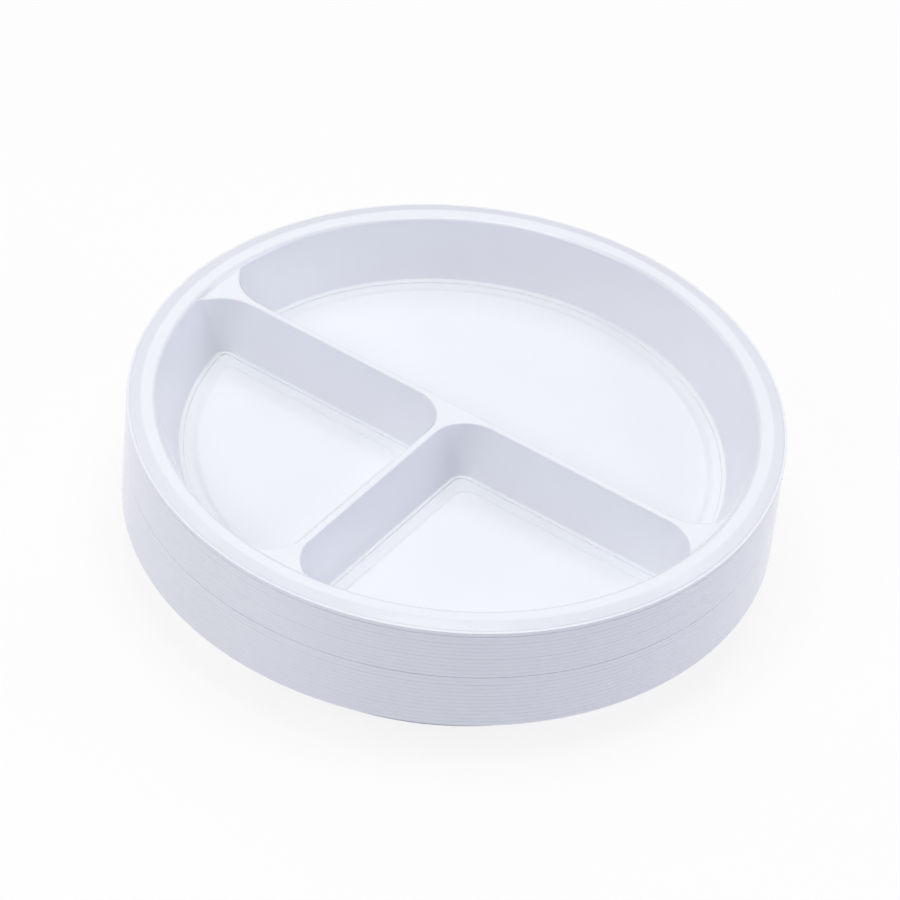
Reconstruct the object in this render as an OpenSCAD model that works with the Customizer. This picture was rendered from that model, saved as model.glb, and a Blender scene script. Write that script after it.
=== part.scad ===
// A stack of nested three-compartment plates, each moulded from one thin sheet.
// Millimetres, +Z up. The origin is the centre of the face that the stack rests on.
// X runs along the long divider and the two small compartments lie towards -Y.

/* [Stack] */
// Number of plates in the stack
plate_count = 25; // [2:1:40]
// Gap between the walls of two nested plates
nest_gap = 0.2; // [0.15:0.05:0.6]
// Gap between the lips of two nested plates
lip_gap = 0.3; // [0.2:0.05:0.8]

/* [Plate] */
// Diameter over the lip
plate_d = 220; // [180:1:300]
// Height of one plate, from its underside to the crest of its rim
plate_h = 21.2; // [17.2:0.1:30]
// Thickness of the moulded sheet
sheet = 0.35; // [0.25:0.05:0.6]
// Slope of every wall away from upright, in degrees
draft = 20; // [16:0.5:28]
// Radius between a wall and the floor
foot_r = 5; // [2:0.1:6]

/* [Rim] */
// Width of the rim, from its edge in to the wall at the height of the dividers
rim_w = 10; // [9.5:0.5:16]
// Distance from the edge of the rim in to the near edge of its flat crest
crest_in = 4.8; // [4:0.1:5]
// Width of the flat crest
crest_w = 3.2; // [1:0.1:3.4]
// Fall from the crest to the flat of the lip
rim_fall = 1.3; // [0.8:0.1:3]
// Width of the flat of the lip
lip_w = 0.8; // [0.6:0.1:2]
// Height of the small step inside the lip
step_h = 0.3; // [0.1:0.05:0.6]
// Width of the small step inside the lip
step_w = 0.4; // [0.2:0.05:1]
// Thickness of the turned-down edge of the lip
skirt_t = 0.45; // [0.3:0.05:0.6]

/* [Dividers] */
// Width of the flat top of a divider
ridge_w = 2.2; // [1.4:0.1:5]
// Depth of the dividers' tops below the crest of the rim
deck_drop = 1.6; // [1:0.1:2.5]
// Corner radius of the small compartments at the rim
small_r = 15.5; // [10:0.5:22]
// Corner radius of the small compartments where the dividers meet
middle_r = 14; // [10:0.5:22]
// Corner radius of the large compartment
large_r = 20; // [10:0.5:28]

/* [Floor] */
// Width of the flat ring round each compartment's floor
ring_w = 1; // [0.5:0.25:5]
// Height of the raised floor above that ring
floor_rise = 0.9; // [0.4:0.1:2]
// Width of the slope up to the raised floor
slope_w = 4.5; // [3:0.5:8]

/* [Hidden] */
$fn = 180;
// Numbers of straight runs that stand for the small arcs of the profile
foot_steps = 3;
crest_steps = 4;
// Overrun of every cut past the face that it opens
over = 0.6;
// Depth to which a rounded corner runs into the face that it meets
weld = 0.25;

plate_r = plate_d / 2;
bowl_r = plate_r - rim_w;
crest_r = plate_r - crest_in - crest_w;
half_ridge = ridge_w / 2;
stack_pitch = (sheet + nest_gap) / sin(draft);
deck_z = plate_h - deck_drop;
lip_z = plate_h - rim_fall;
skirt_z = lip_z - stack_pitch + lip_gap;

// Crest radius that makes the rim run into the sloping wall
crest_round = ((crest_r - bowl_r) * cos(draft) - deck_drop * sin(draft)) / (1 - sin(draft));
// Distance from the wall's line at divider height in to the foot radius's centre
foot_in = (deck_z - sheet - foot_r) * tan(draft) + foot_r / cos(draft);
ring_in = foot_in + ring_w;
slope_in = ring_in + slope_w;

white = [0.93, 0.94, 0.98];

function reversed(points) = [for (i = [len(points) - 1 : -1 : 0]) points[i]];

// Foot of a wall as [distance in from the wall's line, height], grown outwards
function foot_points(grow) = [
    for (i = [0 : foot_steps])
        let (a = draft + (90 - draft) * i / foot_steps)
        [foot_in - (foot_r + grow) * cos(a), sheet + foot_r - (foot_r + grow) * sin(a)]
];

// Wall from a height down to the floor, grown outwards
function wall_points(top_z, grow) = concat(
    [[(deck_z - top_z) * tan(draft) - grow / cos(draft), top_z]],
    foot_points(grow)
);

// Slope of the raised floor, lowered for the underside
function slope_points(drop) = [
    [slope_in, sheet + floor_rise - drop],
    [ring_in, sheet - drop],
    [ring_in - slope_w, sheet - floor_rise - drop]
];

// Radius and height of the bowl's surface, from the middle out to the crest
function bowl_points(grow) = concat(
    [[0, sheet - grow]],
    [for (p = reversed(foot_points(grow))) [bowl_r - p[0], p[1]]],
    [
        for (i = [0 : crest_steps])
            let (a = 180 - draft - (90 - draft) * i / crest_steps)
            [crest_r + (crest_round - grow) * cos(a), plate_h - crest_round + (crest_round - grow) * sin(a)]
    ]
);

// Outline of the sheet over the rim, from the crest out to the edge and back
function rim_points() = [
    [plate_r - crest_in, plate_h],
    [plate_r - lip_w - step_w, lip_z + step_h],
    [plate_r - lip_w, lip_z],
    [plate_r, lip_z],
    [plate_r, skirt_z],
    [plate_r - skirt_t, skirt_z],
    [plate_r - skirt_t, lip_z - sheet],
    [plate_r - lip_w, lip_z - sheet],
    [plate_r - lip_w - step_w, lip_z + step_h - sheet],
    [plate_r - crest_in, plate_h - sheet]
];

// Round bowl and rim, as if it had no dividers
module bowl_shell() {
    rotate_extrude()
        polygon(concat(bowl_points(0), rim_points(), reversed(bowl_points(sheet))));
}

// Inside of the bowl, out to the middle of the sheet
module bowl_core() {
    rotate_extrude()
        polygon(concat(bowl_points(sheet / 2), [[0, plate_h - sheet / 2]]));
}

// Straight bar with the walls' slope on both sides, from x = 0 out to the rim
module bar(points) {
    right = [for (p = points) [half_ridge + p[0], p[1]]];
    left = [for (p = reversed(points)) [-half_ridge - p[0], p[1]]];
    foot = right[len(right) - 1][0];
    rotate([90, 0, 90])
        linear_extrude(height = crest_r)
            polygon(concat(right, [[foot, -over], [-foot, -over]], left));
}

// Upright round hole whose side follows the same points
module corner_hole(radius, points) {
    side = [for (p = points) [max(radius - p[0] + weld, weld), p[1]]];
    rotate_extrude()
        polygon(concat([[0, points[0][1] + over], [side[0][0], points[0][1] + over]], side,
                       [[0, points[len(points) - 1][1]]]));
}

// Filling of the corner between a divider along +X and the rim, on the +Y side
module rim_corner(radius, points) {
    cy = half_ridge + radius;
    hub_r = bowl_r - radius;
    cx = sqrt(hub_r * hub_r - cy * cy);
    low = -over;
    difference() {
        translate([0, 0, low])
            linear_extrude(height = points[0][1] - low)
                polygon([[cx, cy], [cx, 0], [plate_r, 0], [cx, cy] * plate_r / hub_r]);
        translate([cx, cy, 0])
            corner_hole(radius, points);
    }
}

// Filling of the corner where two dividers meet, in the quarter of +X and +Y
module middle_corner(radius, points) {
    c = half_ridge + radius;
    low = -over;
    difference() {
        translate([0, 0, low])
            linear_extrude(height = points[0][1] - low)
                square(c);
        translate([c, c, 0])
            corner_hole(radius, points);
    }
}

// T of three bars that meet in the middle
module bars(points) {
    for (turn = [0, 180, 270])
        rotate(turn)
            bar(points);
}

// T of dividers with filled corners, whose sides follow the points
module divider_form(points, at_rim, at_middle, at_large) {
    bars(points);
    for (side = [0, 1])
        mirror([side, 0, 0]) {
            rim_corner(at_large, points);
            mirror([0, 1, 0])
                rim_corner(at_rim, points);
            rotate(-90)
                rim_corner(at_rim, points);
            mirror([0, 1, 0])
                middle_corner(at_middle, points);
        }
}

// Raised floors of the three compartments, lowered for the underside
module raised_floors(drop) {
    points = slope_points(drop);
    difference() {
        rotate_extrude()
            polygon(concat([for (p = points) [bowl_r - p[0], p[1]]],
                           [[0, points[2][1]], [0, points[0][1]]]));
        bars(points);
    }
}

module plate() {
    difference() {
        union() {
            bowl_shell();
            intersection() {
                bowl_core();
                union() {
                    divider_form(wall_points(deck_z, 0), small_r, middle_r, large_r);
                    raised_floors(0);
                }
            }
        }
        intersection() {
            divider_form(wall_points(deck_z - sheet, sheet), small_r, middle_r, large_r);
            translate([0, 0, -over])
                cylinder(r = crest_r, h = plate_h);
        }
        raised_floors(sheet);
    }
}

for (n = [1 : plate_count])
    translate([0, 0, (n - 1) * stack_pitch])
            color(white)
                plate();
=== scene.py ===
import math

import bmesh
import bpy
import numpy as np
from mathutils import Matrix, Vector


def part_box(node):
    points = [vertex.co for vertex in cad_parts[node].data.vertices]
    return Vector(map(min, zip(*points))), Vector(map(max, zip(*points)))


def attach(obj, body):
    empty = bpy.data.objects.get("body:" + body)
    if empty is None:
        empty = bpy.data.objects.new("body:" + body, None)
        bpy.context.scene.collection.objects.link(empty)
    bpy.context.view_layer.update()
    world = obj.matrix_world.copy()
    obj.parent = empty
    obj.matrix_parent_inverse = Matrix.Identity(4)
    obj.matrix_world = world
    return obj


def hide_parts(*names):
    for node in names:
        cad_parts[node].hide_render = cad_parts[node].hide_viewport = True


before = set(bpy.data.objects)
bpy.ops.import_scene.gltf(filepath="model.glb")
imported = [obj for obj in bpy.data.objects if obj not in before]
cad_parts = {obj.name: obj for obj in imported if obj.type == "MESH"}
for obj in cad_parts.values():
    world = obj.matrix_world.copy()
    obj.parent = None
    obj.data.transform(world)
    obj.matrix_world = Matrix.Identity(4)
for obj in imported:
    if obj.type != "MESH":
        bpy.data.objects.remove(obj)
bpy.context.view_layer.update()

MM = 0.001

# The stack, taken from the frame
NODES = sorted(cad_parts)
TOP_LOW, TOP_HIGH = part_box(NODES[-1])
PLATE_R = TOP_HIGH.x
PLATE_H = TOP_HIGH.z - TOP_LOW.z
PITCH = (TOP_LOW.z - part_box(NODES[0])[0].z) / (len(NODES) - 1)

# Sheet, walls and feet of one plate, with heights above its own underside
SHEET = 0.35 * MM
DRAFT = math.radians(20)
RIM_W = 10 * MM
DECK_DROP = 1.6 * MM
RIDGE_W = 2.2 * MM
FOOT_R = 0.5 * MM
LEDGE_W = 0.9 * MM
LEDGE_H = 0.5 * MM
LEDGE_R = 0.35 * MM
LEDGE_FOOT_R = LEDGE_R / 3
LEDGE_SLOPE_W = 0.2 * LEDGE_H
FLOOR_RISE = 0.7 * MM

# Insets from the dividers and from the rim's wall: at the foot, the flat ring's end, the panel
FOOT_INSETS = (6.4 * MM, 8.6 * MM)
RING_INSETS = (10.8 * MM, 11.8 * MM)
PANEL_INSETS = (12.4 * MM, 15.4 * MM)

# Corner radii of the compartments, seen from above
SMALL_R = 15.5 * MM
MIDDLE_R = 14 * MM
LARGE_R = 16.5 * MM
SMALL_FOOT_R = 6 * MM
MIDDLE_FOOT_R = 5 * MM
LARGE_FOOT_R = 7 * MM
RING_R = 4.5 * MM
PANEL_R = 6 * MM

# How far a corner runs into the rim's wall, and the radii that round where they meet
CORNER_SHIFT = 1.9 * MM
BLEND_R = 4 * MM
FOOT_BLEND_R = 2.5 * MM

# Rim and lip
CREST_IN = 4.8 * MM
CREST_W = 3.2 * MM
RIM_FALL = 1.3 * MM
LIP_W = 0.8 * MM
STEP_W = 0.4 * MM
STEP_H = 0.3 * MM
BAND_R = 3.5 * MM
STEP_R = 0.4 * MM
LIP_R = 0.1 * MM

# Gap under each lip, and the wider ones by place in the stack, counted from the top
LIP_GAP = 0.05 * MM
WIDE_LIP_GAPS = {1: 0.2 * MM, 3: 0.09 * MM, 7: 0.09 * MM, 12: 0.2 * MM, 14: 0.09 * MM}

# Roundings of the dividers' tops and of the creases where they meet the rim
RIDGE_R = 0.7 * MM
CREASE_R = 0.8 * MM

BOWL_R = PLATE_R - RIM_W
CREST_R = PLATE_R - CREST_IN - CREST_W
HALF_RIDGE = RIDGE_W / 2
DECK_Z = PLATE_H - DECK_DROP
LIP_Z = PLATE_H - RIM_FALL
SKIRT_Z = LIP_Z - PITCH
CREST_ROUND = (CREST_R - BOWL_R) * math.cos(DRAFT) - DECK_DROP * math.sin(DRAFT)
CREST_ROUND /= 1 - math.sin(DRAFT)
CREST_CENTRE_Z = PLATE_H - CREST_ROUND
LEDGE_Z = SHEET + LEDGE_H
FOOT_IN = (DECK_Z - LEDGE_Z - FOOT_R) * math.tan(DRAFT) + FOOT_R / math.cos(DRAFT)

# Tangent lengths of the two roundings on the dividers' flat tops
TURN = math.radians(90) - DRAFT
RIDGE_REACH = RIDGE_R * math.tan(TURN / 2)
CREASE_REACH = CREASE_R * math.tan(TURN / 2)

# Where the rim starts, a little above the dividers' tops
START_Z = DECK_Z + CREASE_REACH * math.cos(DRAFT)
START_R = CREST_R - math.sqrt(CREST_ROUND ** 2 - (START_Z - CREST_CENTRE_Z) ** 2)

# Numbers of faces along each stretch
OUTER_STEPS = 72
SMALL_OUTER_STEPS = 32
CORNER_STEPS = 16
BLEND_STEPS = 5
MIDDLE_STEPS = 12
BAR_STEPS = 12
SMALL_BAR_STEPS = 6
EDGE_STEPS = 4
WALL_STEPS = 2
FOOT_STEPS = 7
SLOPE_STEPS = 6
CREST_STEPS = 6
ROUND_STEPS = 3

# Points nearer than this are one point, and edges sharper than this stay sharp in shading
MERGE = MM / 50
SHARP_ANGLE = math.radians(40)
NORMAL_WEIGHT = 60
ANGLE_DIGITS = 9

# The plastic's two ends of tint, and its patterns as scale, detail, lowest and highest value
PLASTIC_IOR = 1.5
TINTS = ((0.79, 0.81, 0.868, 1), (0.81, 0.83, 0.892, 1))
TINT_CLOUD = (22, 3, 0, 1)
ROUGHNESS_CLOUD = (160, 3, 0.08, 0.15)
WAVE_CLOUD = (45, 2, 0, 1)
GRAIN_CLOUD = (1800, 2, 0, 1)
CLOUD_SPAN = (0.3, 0.7)

# Strength and height of the plastic's slight waviness and of its fine grain
WAVE_BUMP = (0.05, 1 * MM)
GRAIN_BUMP = (0.02, 0.05 * MM)

# The camera's place round the stack, read from the photo
CAMERA_AZIMUTH = math.radians(31.09)
CAMERA_ELEVATION = math.radians(40)
CAMERA_DISTANCE = 1661 * MM
CAMERA_ROLL = math.radians(6.093)
CAMERA_LENS = 200
CAMERA_SENSOR = 36
LOOK_SIDE = -1.11 * MM
LOOK_BACK = -21.12 * MM
LOOK_UP = TOP_LOW.z + 19.39 * MM

# Half the floor's width, and how much of it shows plain white to the camera and in gloss
FLOOR_REACH = 4.0
WHITE_SHARE = 0.85

# Soft lamps: name, azimuth, elevation, width, height, power and colour
LAMP_DISTANCE = 1.6
WHITE = (1, 1, 0.95)
CREAM = (1, 1, 0.83)
WARM = (1, 0.98, 0.84)
LAMPS = (
    ("back_softbox", 210, 50, 1.4, 0.9, 4.9, WARM),
    ("front_softbox", -15, 44, 0.7, 0.6, 5.2, WARM),
    ("top_softbox", 31, 85, 1.0, 1.0, 11.7, CREAM),
    ("left_softbox", -62, 20, 0.8, 0.8, 2.7, WHITE),
    ("right_softbox", 122, 20, 0.8, 0.8, 5.6, WHITE),
)
SKY = (0.67, 0.67, 1, 1)
SKY_STRENGTH = 0.38


def smooth(x):
    x = np.clip(x, 0, 1)
    return x * x * (3 - 2 * x)


def mix(a, b, share):
    return a + (b - a) * share


def arc(centre, radius, start, end, steps):
    """Points on an arc without its last one, and the directions to its centre."""
    angles = np.linspace(start, end, steps, endpoint=False)
    out = np.column_stack((np.cos(angles), np.sin(angles)))
    return np.array(centre) + radius * out, -out


def straight(start, end, inward, steps):
    """Points on a line without its last one, and the direction into the compartment."""
    share = np.linspace(0, 1, steps, endpoint=False)[:, None]
    return mix(np.array(start), np.array(end), share), np.tile(inward, (steps, 1))


def corner(insets, radius, blend):
    """Centre and turn of a corner next to +X, and of the arc that blends it into the rim's wall."""
    outer = BOWL_R - insets[1]
    cy = HALF_RIDGE + insets[0] + radius
    centre = np.array([math.sqrt((outer - radius) ** 2 - cy ** 2) + CORNER_SHIFT, cy])
    reach = np.linalg.norm(centre)
    along = ((outer - blend) ** 2 - (radius - blend) ** 2 + reach ** 2) / (2 * reach)
    aside = math.sqrt((outer - blend) ** 2 - along ** 2)
    u = centre / reach
    hub = along * u + aside * np.array([u[1], -u[0]])
    leave = math.atan2(hub[1] - centre[1], hub[0] - centre[0])
    return centre, leave, hub, math.atan2(hub[1], hub[0])


def half_outline(insets, radius, blend):
    """Outline of the large compartment, from its outer arc on and round to its start."""
    low = HALF_RIDGE + insets[0]
    (cx, cy), leave, (hx, hy), turn = corner(insets, radius, blend)
    parts = [
        arc((0, 0), BOWL_R - insets[1], turn, math.pi - turn, OUTER_STEPS),
        arc((-hx, hy), blend, math.pi - turn, math.pi - leave, BLEND_STEPS),
        arc((-cx, cy), radius, math.pi - leave, 1.5 * math.pi, CORNER_STEPS),
        straight((-cx, low), (cx, low), (0, 1), BAR_STEPS),
        arc((cx, cy), radius, -0.5 * math.pi, leave, CORNER_STEPS),
        arc((hx, hy), blend, leave, turn, BLEND_STEPS),
    ]
    return np.concatenate([p for p, _ in parts]), np.concatenate([n for _, n in parts])


def quarter_outline(insets, radius, middle, blend):
    """Outline of a small compartment, drawn between +X and +Y."""
    low = HALF_RIDGE + insets[0]
    mid = low + middle
    (cx, cy), leave, (hx, hy), turn = corner(insets, radius, blend)
    quarter = 0.5 * math.pi
    parts = [
        arc((0, 0), BOWL_R - insets[1], turn, quarter - turn, SMALL_OUTER_STEPS),
        arc((hy, hx), blend, quarter - turn, quarter - leave, BLEND_STEPS),
        arc((cy, cx), radius, quarter - leave, math.pi, CORNER_STEPS),
        straight((low, cx), (low, mid), (1, 0), SMALL_BAR_STEPS),
        arc((mid, mid), middle, math.pi, 1.5 * math.pi, MIDDLE_STEPS),
        straight((mid, low), (cx, low), (0, 1), SMALL_BAR_STEPS),
        arc((cx, cy), radius, -quarter, leave, CORNER_STEPS),
        arc((hx, hy), blend, leave, turn, BLEND_STEPS),
    ]
    return np.concatenate([p for p, _ in parts]), np.concatenate([n for _, n in parts])


def curve(a, b, c, steps):
    """Points of the quadratic curve from a to c that leaves both towards b."""
    shares = np.linspace(0, 1, steps + 1)
    return [mix(mix(a, b, s), mix(b, c, s), s) for s in shares]


def rounded(corners, radii, steps):
    """A run of straight lines whose inner corners are turned into arcs."""
    corners = [np.array(c, float) for c in corners]
    out = [corners[0]]
    for before, corner, after, radius in zip(corners, corners[1:], corners[2:], radii):
        a = (before - corner) / np.linalg.norm(before - corner)
        b = (after - corner) / np.linalg.norm(after - corner)
        half = math.acos(np.clip(a @ b, -1, 1)) / 2
        reach = radius / math.tan(half)
        out += curve(corner + a * reach, corner, corner + b * reach, steps)
    return out + [corners[-1]]


def rounding_share(gap):
    """How fully an edge is rounded, where its flat ends in a point against the rim."""
    return smooth(gap / (2 * (RIDGE_REACH + CREASE_REACH)))


def foot_point(angle):
    """Inset and height on the small arc at the foot of a wall."""
    centre_z = LEDGE_Z + FOOT_R
    return np.array([FOOT_IN - FOOT_R * math.cos(angle), centre_z - FOOT_R * math.sin(angle)])


def section(points):
    """Rows of (inset, height) from a divider's flat top, or the rim, down over the foot's ledge."""
    gap = BOWL_R - np.linalg.norm(points, axis=1)
    share = rounding_share(gap)[:, None]
    on_wall = np.array([BOWL_R - START_R, START_Z])
    below = np.array([RIDGE_REACH * math.sin(DRAFT), DECK_Z - RIDGE_REACH * math.cos(DRAFT)])
    first = mix(on_wall, np.array([-RIDGE_REACH, DECK_Z]), share)
    corner = mix((on_wall + below) / 2, np.array([0, DECK_Z]), share)
    rows = curve(first, corner, np.tile(below, (len(points), 1)), EDGE_STEPS)
    foot_top = foot_point(DRAFT)
    rows += [mix(below, foot_top, s) for s in np.linspace(0, 1, WALL_STEPS + 1)[1:]]
    rows += [foot_point(a) for a in np.linspace(DRAFT, math.pi / 2, FOOT_STEPS + 1)[1:]]
    ledge = [
        (FOOT_IN, LEDGE_Z),
        (FOOT_IN + LEDGE_W, LEDGE_Z),
        (FOOT_IN + LEDGE_W + LEDGE_SLOPE_W, SHEET),
        (FOOT_IN + LEDGE_W + LEDGE_H, SHEET),
    ]
    rows += rounded(ledge, [LEDGE_R, LEDGE_FOOT_R], ROUND_STEPS)[1:]
    return [np.broadcast_to(row, (len(points), 2)) for row in rows]


def compartment(outlines, outer_steps):
    """Rows of points of one compartment, from its edge down and in to its raised panel.

    The upper edge comes too, in three runs: the outer two go from a divider to the rim.
    """
    (edge, inward), (foot, _), (ring, _), (panel, _) = outlines
    rows = []
    for row in section(edge):
        inset = row[:, :1]
        down = (foot - edge) * np.maximum(inset, 0) / FOOT_IN
        plan = edge + inward * np.minimum(inset, 0) + down
        rows.append(np.column_stack((plan, row[:, 1])))
    ring = np.column_stack((ring, np.full(len(edge), SHEET)))
    rows.append(ring)
    inner = np.column_stack((panel, np.full(len(edge), SHEET + FLOOR_RISE)))
    for share in np.linspace(0, 1, SLOPE_STEPS + 1)[1:]:
        row = mix(ring, inner, share)
        row[:, 2] = SHEET + FLOOR_RISE * smooth(share)
        rows.append(row)
    top = np.column_stack((rows[0], rounding_share(BOWL_R - np.linalg.norm(edge, axis=1))))
    run = CORNER_STEPS + BLEND_STEPS
    near = np.concatenate((top[-run:], top[:1]))
    far = top[outer_steps:outer_steps + run + 1][::-1]
    ridge = top[outer_steps + run:len(top) - run + 1]
    return rows, (near, ridge, far)


def rim_section(gap):
    """Rows of (radius, height) from just above the dividers out to the foot of the skirt."""
    start = math.asin((START_Z - CREST_CENTRE_Z) / CREST_ROUND)
    rows = []
    for angle in np.linspace(start, math.pi / 2, CREST_STEPS + 1)[:-1]:
        rows.append(np.array([
            CREST_R - CREST_ROUND * math.cos(angle), CREST_CENTRE_Z + CREST_ROUND * math.sin(angle)
        ]))
    step_in = PLATE_R - LIP_W - STEP_W
    corners = [
        (CREST_R, PLATE_H),
        (PLATE_R - CREST_IN, PLATE_H),
        (step_in, LIP_Z + STEP_H),
        (PLATE_R - LIP_W, LIP_Z),
        (PLATE_R, LIP_Z),
        (PLATE_R, SKIRT_Z + gap),
    ]
    return rows + rounded(corners, [BAND_R, STEP_R, STEP_R, LIP_R], ROUND_STEPS)


def pad_rows(first, second):
    """Rows of points of the crease between the rim and a divider's end, inner row first."""
    sides = np.concatenate((first[::-1], second))
    out = sides[:, :2] / np.linalg.norm(sides[:, :2], axis=1)[:, None]
    share = sides[:, 3:]
    slope = (CREST_R - START_R) / (START_Z - CREST_CENTRE_Z)
    top = np.array([START_R, START_Z])
    corner_r = START_R - (START_Z - DECK_Z) / slope
    flat = np.array([corner_r - CREASE_REACH, DECK_Z])
    tops = np.tile(top, (len(sides), 1))
    bend = mix(tops, np.array([corner_r, DECK_Z]), share)
    rows = curve(mix(tops, flat, share), bend, tops, EDGE_STEPS)
    return [np.column_stack((out * row[:, :1], row[:, 1])) for row in rows]


def turned(rows, sx, sy):
    turn = np.array([sx, sy, 1, 1])
    return [row * turn[:row.shape[1]] for row in rows]


def add_rows(bm, rows, closed):
    """Quads between neighbouring rows of points."""
    loops = [[bm.verts.new(p) for p in row] for row in rows]
    for upper, lower in zip(loops, loops[1:]):
        pairs = list(zip(upper, lower))
        if closed:
            pairs.append(pairs[0])
        for (a, b), (c, d) in zip(pairs, pairs[1:]):
            bm.faces.new((a, c, d, b))
    return loops


def plate_surface(gap):
    """The upper surface of one plate, at the height where its underside rests on z = 0."""
    bm = bmesh.new()
    large = compartment([
        half_outline((0, 0), LARGE_R, BLEND_R),
        half_outline(FOOT_INSETS, LARGE_FOOT_R, FOOT_BLEND_R),
        half_outline(RING_INSETS, RING_R, FOOT_BLEND_R),
        half_outline(PANEL_INSETS, PANEL_R, FOOT_BLEND_R),
    ], OUTER_STEPS)
    small = compartment([
        quarter_outline((0, 0), SMALL_R, MIDDLE_R, BLEND_R),
        quarter_outline(FOOT_INSETS, SMALL_FOOT_R, MIDDLE_FOOT_R, FOOT_BLEND_R),
        quarter_outline(RING_INSETS, RING_R, RING_R, FOOT_BLEND_R),
        quarter_outline(PANEL_INSETS, PANEL_R, PANEL_R, FOOT_BLEND_R),
    ], SMALL_OUTER_STEPS)
    right = [turned(part, 1, -1) for part in small]
    left = [turned(part, -1, -1) for part in small]
    for rows, _ in (large, right, left):
        loops = add_rows(bm, rows, closed=True)
        bm.faces.new(loops[-1])

    right_near, right_ridge, right_far = right[1]
    left_near, left_ridge, left_far = left[1]
    large_near, large_ridge, large_far = large[1]
    angles, deck = [], []
    sides = ((right_near, large_near), (large_far, left_near), (left_far, right_far))
    ridges = (large_ridge[::-1], left_ridge[::-1], right_ridge)
    for (first, second), ridge in zip(sides, ridges):
        rows = pad_rows(first, second)
        add_rows(bm, rows, closed=False)
        split = len(first)
        add_rows(bm, [first[::-1, :3], rows[0][:split]], closed=False)
        add_rows(bm, [second[:, :3], rows[0][split:]], closed=False)
        angles.append(np.arctan2(rows[0][:, 1], rows[0][:, 0]))
        deck += [rows[0][split - 1], rows[0][split], *ridge[:, :3]]
    face = bm.faces.new([bm.verts.new(p) for p in deck])
    face.normal_update()
    bmesh.ops.triangulate(bm, faces=[face])

    turn = np.arctan2(large_near[-1, 1], large_near[-1, 0])
    angles.append(np.linspace(turn, math.pi - turn, OUTER_STEPS + 1))
    turn = np.arctan2(right_near[-1, 1], right_near[-1, 0])
    for side in (0, -0.5 * math.pi):
        angles.append(side + np.linspace(turn, -0.5 * math.pi - turn, SMALL_OUTER_STEPS + 1))
    angles = np.unique((np.concatenate(angles) % (2 * math.pi)).round(ANGLE_DIGITS))
    ring = np.column_stack((np.cos(angles), np.sin(angles)))
    rim = [np.column_stack((ring * r, np.full(len(angles), z))) for r, z in rim_section(gap)]
    add_rows(bm, rim, closed=True)

    bmesh.ops.remove_doubles(bm, verts=bm.verts, dist=MERGE)
    bmesh.ops.dissolve_degenerate(bm, edges=bm.edges, dist=MERGE)
    bmesh.ops.recalc_face_normals(bm, faces=bm.faces)
    bm.faces.ensure_lookup_table()
    floor_face = max(bm.faces, key=lambda f: f.calc_area())
    if floor_face.normal.z < 0:
        bmesh.ops.reverse_faces(bm, faces=bm.faces)
    return bm


def evaluated_mesh(obj):
    graph = bpy.context.evaluated_depsgraph_get()
    return bpy.data.meshes.new_from_object(
        obj.evaluated_get(graph), preserve_all_data_layers=True, depsgraph=graph
    )


def plate_mesh(gap):
    """The whole sheet of one plate, whose skirt ends the gap above the lip below it."""
    bm = plate_surface(gap)
    surface = bpy.data.meshes.new("plate_surface")
    bm.to_mesh(surface)
    bm.free()
    surface.shade_smooth()
    model = bpy.data.objects.new("plate_model", surface)
    bpy.context.scene.collection.objects.link(model)
    shell = model.modifiers.new("sheet", "SOLIDIFY")
    shell.thickness = SHEET
    shell.offset = -1
    shell.use_even_offset = True
    mesh = evaluated_mesh(model)
    # Even thickness overshoots in tight corners, and nothing may reach below the resting face
    for vertex in mesh.vertices:
        vertex.co.z = max(vertex.co.z, 0)
    model.modifiers.clear()
    model.data = mesh
    mesh.set_sharp_from_angle(angle=SHARP_ANGLE)
    normals = model.modifiers.new("normals", "WEIGHTED_NORMAL")
    normals.keep_sharp = True
    normals.weight = NORMAL_WEIGHT
    final = evaluated_mesh(model)
    bpy.data.objects.remove(model)
    final.name = "moulded_plate"
    return final


def new_material(name):
    material = bpy.data.materials.new(name)
    material.use_nodes = True
    nodes = material.node_tree.nodes
    return material, nodes, material.node_tree.links, nodes["Principled BSDF"]


def noise(nodes, links, coords, scale, detail, low, high):
    """Cloudy pattern that runs between two values."""
    cloud = nodes.new("ShaderNodeTexNoise")
    cloud.inputs["Scale"].default_value = scale
    cloud.inputs["Detail"].default_value = detail
    links.new(coords.outputs["Object"], cloud.inputs["Vector"])
    spread = nodes.new("ShaderNodeMapRange")
    spread.inputs["From Min"].default_value = CLOUD_SPAN[0]
    spread.inputs["From Max"].default_value = CLOUD_SPAN[1]
    spread.inputs["To Min"].default_value = low
    spread.inputs["To Max"].default_value = high
    links.new(cloud.outputs["Fac"], spread.inputs["Value"])
    return spread.outputs["Result"]


def bump(nodes, links, height, strength, distance):
    node = nodes.new("ShaderNodeBump")
    node.inputs["Strength"].default_value = strength
    node.inputs["Distance"].default_value = distance
    links.new(height, node.inputs["Height"])
    return node


def plastic_material():
    """Glossy white moulded plastic with a cool tint, faint clouding and slight waviness."""
    material, nodes, links, shader = new_material("white_plastic")
    shader.inputs["IOR"].default_value = PLASTIC_IOR
    coords = nodes.new("ShaderNodeTexCoord")
    tint = nodes.new("ShaderNodeMix")
    tint.data_type = "RGBA"
    tint.inputs["A"].default_value = TINTS[0]
    tint.inputs["B"].default_value = TINTS[1]
    links.new(noise(nodes, links, coords, *TINT_CLOUD), tint.inputs["Factor"])
    links.new(tint.outputs["Result"], shader.inputs["Base Color"])
    links.new(noise(nodes, links, coords, *ROUGHNESS_CLOUD), shader.inputs["Roughness"])
    wave = bump(nodes, links, noise(nodes, links, coords, *WAVE_CLOUD), *WAVE_BUMP)
    grain = bump(nodes, links, noise(nodes, links, coords, *GRAIN_CLOUD), *GRAIN_BUMP)
    links.new(wave.outputs["Normal"], grain.inputs["Normal"])
    links.new(grain.outputs["Normal"], shader.inputs["Normal"])
    return material


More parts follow.
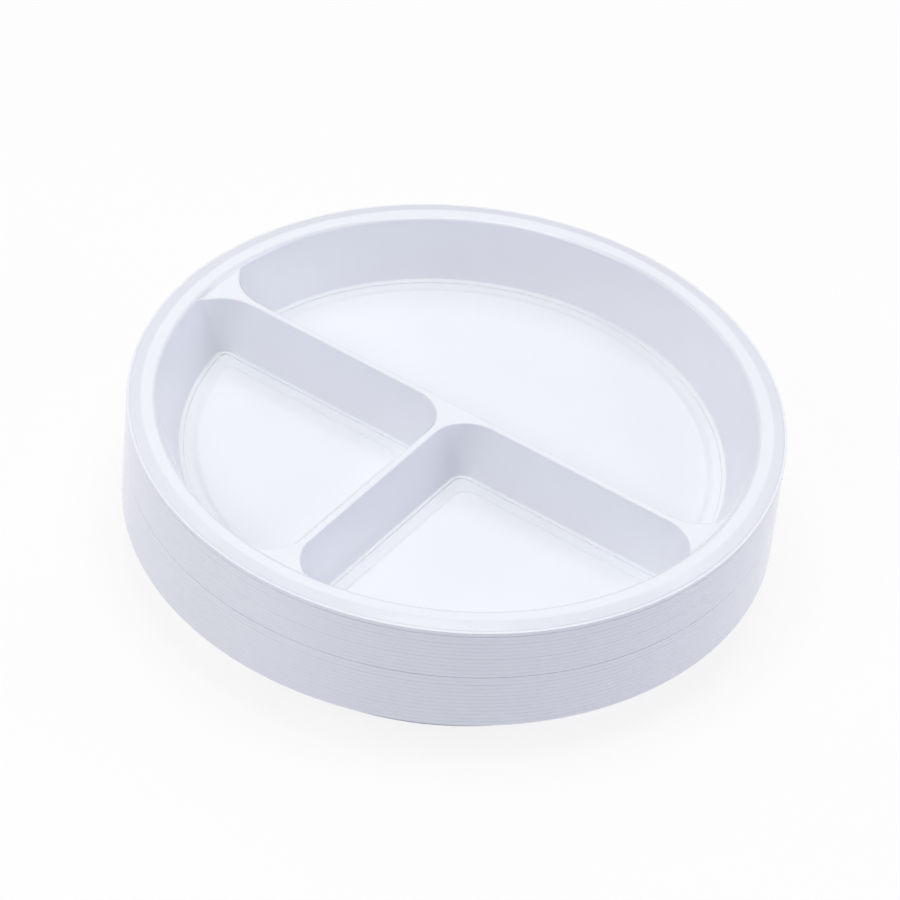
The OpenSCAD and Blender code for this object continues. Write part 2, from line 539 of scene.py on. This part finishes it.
def floor_material():
    """Pale floor that keeps the stack's shadow and shows white to the camera and in gloss."""
    material, nodes, links, shader = new_material("floor")
    shader.inputs["Base Color"].default_value = (0.9, 0.9, 0.9, 1)
    shader.inputs["Roughness"].default_value = 0.7
    shader.inputs["Specular IOR Level"].default_value = 0.2
    glow = nodes.new("ShaderNodeEmission")
    glow.inputs["Color"].default_value = (1, 1, 1, 1)
    glow.inputs["Strength"].default_value = 1
    path = nodes.new("ShaderNodeLightPath")
    seen = nodes.new("ShaderNodeMath")
    seen.operation = "MAXIMUM"
    links.new(path.outputs["Is Camera Ray"], seen.inputs[0])
    links.new(path.outputs["Is Glossy Ray"], seen.inputs[1])
    share = nodes.new("ShaderNodeMath")
    share.operation = "MULTIPLY"
    share.inputs[1].default_value = WHITE_SHARE
    links.new(seen.outputs[0], share.inputs[0])
    blend = nodes.new("ShaderNodeMixShader")
    links.new(share.outputs[0], blend.inputs["Fac"])
    links.new(shader.outputs[0], blend.inputs[1])
    links.new(glow.outputs[0], blend.inputs[2])
    links.new(blend.outputs[0], nodes["Material Output"].inputs["Surface"])
    return material


def make_plates():
    plastic = plastic_material()
    meshes = {}
    for place, node in enumerate(reversed(NODES), 1):
        gap = WIDE_LIP_GAPS.get(place, LIP_GAP)
        if gap not in meshes:
            meshes[gap] = plate_mesh(gap)
            meshes[gap].materials.clear()
            meshes[gap].materials.append(plastic)
        plate = bpy.data.objects.new("moulded_" + node, meshes[gap])
        plate.location.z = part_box(node)[0].z
        bpy.context.scene.collection.objects.link(plate)
        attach(plate, node)
        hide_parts(node)


def make_floor():
    signs = ((-1, -1), (1, -1), (1, 1), (-1, 1))
    corners = [(x * FLOOR_REACH, y * FLOOR_REACH, 0) for x, y in signs]
    mesh = bpy.data.meshes.new("floor")
    mesh.from_pydata(corners, [], [(0, 1, 2, 3)])
    mesh.materials.append(floor_material())
    floor = bpy.data.objects.new("floor", mesh)
    bpy.context.scene.collection.objects.link(floor)


def direction(azimuth, elevation):
    """Unit vector towards a place seen at this azimuth, from the front, and elevation."""
    return Vector((
        math.sin(azimuth) * math.cos(elevation),
        -math.cos(azimuth) * math.cos(elevation),
        math.sin(elevation),
    ))


def make_camera():
    data = bpy.data.cameras.new("camera")
    data.lens = CAMERA_LENS
    data.sensor_width = CAMERA_SENSOR
    camera = bpy.data.objects.new("camera", data)
    bpy.context.scene.collection.objects.link(camera)
    place = direction(CAMERA_AZIMUTH, CAMERA_ELEVATION) * CAMERA_DISTANCE + Vector((0, 0, LOOK_UP))
    ca, sa = math.cos(CAMERA_AZIMUTH), math.sin(CAMERA_AZIMUTH)
    target = Vector((LOOK_SIDE * ca - LOOK_BACK * sa, LOOK_SIDE * sa + LOOK_BACK * ca, LOOK_UP))
    ahead = (target - place).normalized()
    right = ahead.cross(Vector((0, 0, 1))).normalized()
    up = right.cross(ahead)
    cr, sr = math.cos(CAMERA_ROLL), math.sin(CAMERA_ROLL)
    turned_right = right * cr + up * sr
    turned_up = up * cr - right * sr
    rotation = Matrix((turned_right, turned_up, -ahead)).transposed().to_4x4()
    camera.matrix_world = Matrix.Translation(place) @ rotation
    bpy.context.scene.camera = camera


def softbox(name, azimuth, elevation, width, height, power, colour):
    """A soft lamp that faces the stack, placed by the angles at which it is seen."""
    data = bpy.data.lights.new(name, "AREA")
    data.shape = "RECTANGLE"
    data.size = width
    data.size_y = height
    data.energy = power
    data.color = colour
    lamp = bpy.data.objects.new(name, data)
    bpy.context.scene.collection.objects.link(lamp)
    towards = direction(math.radians(azimuth), math.radians(elevation))
    lamp.location = towards * LAMP_DISTANCE
    lamp.rotation_mode = "QUATERNION"
    lamp.rotation_quaternion = towards.to_track_quat("Z", "Y")


def make_light():
    for lamp in LAMPS:
        softbox(*lamp)
    world = bpy.data.worlds.new("studio")
    bpy.context.scene.world = world
    world.use_nodes = True
    nodes, links = world.node_tree.nodes, world.node_tree.links
    sky = nodes["Background"]
    sky.inputs["Color"].default_value = SKY
    sky.inputs["Strength"].default_value = SKY_STRENGTH
    backdrop = nodes.new("ShaderNodeBackground")
    backdrop.inputs["Color"].default_value = (1, 1, 1, 1)
    backdrop.inputs["Strength"].default_value = 1
    path = nodes.new("ShaderNodeLightPath")
    blend = nodes.new("ShaderNodeMixShader")
    links.new(path.outputs["Is Camera Ray"], blend.inputs["Fac"])
    links.new(sky.outputs[0], blend.inputs[1])
    links.new(backdrop.outputs[0], blend.inputs[2])
    links.new(blend.outputs[0], nodes["World Output"].inputs["Surface"])


make_camera()
make_plates()
make_floor()
make_light()
bpy.context.scene.view_settings.view_transform = "Standard"
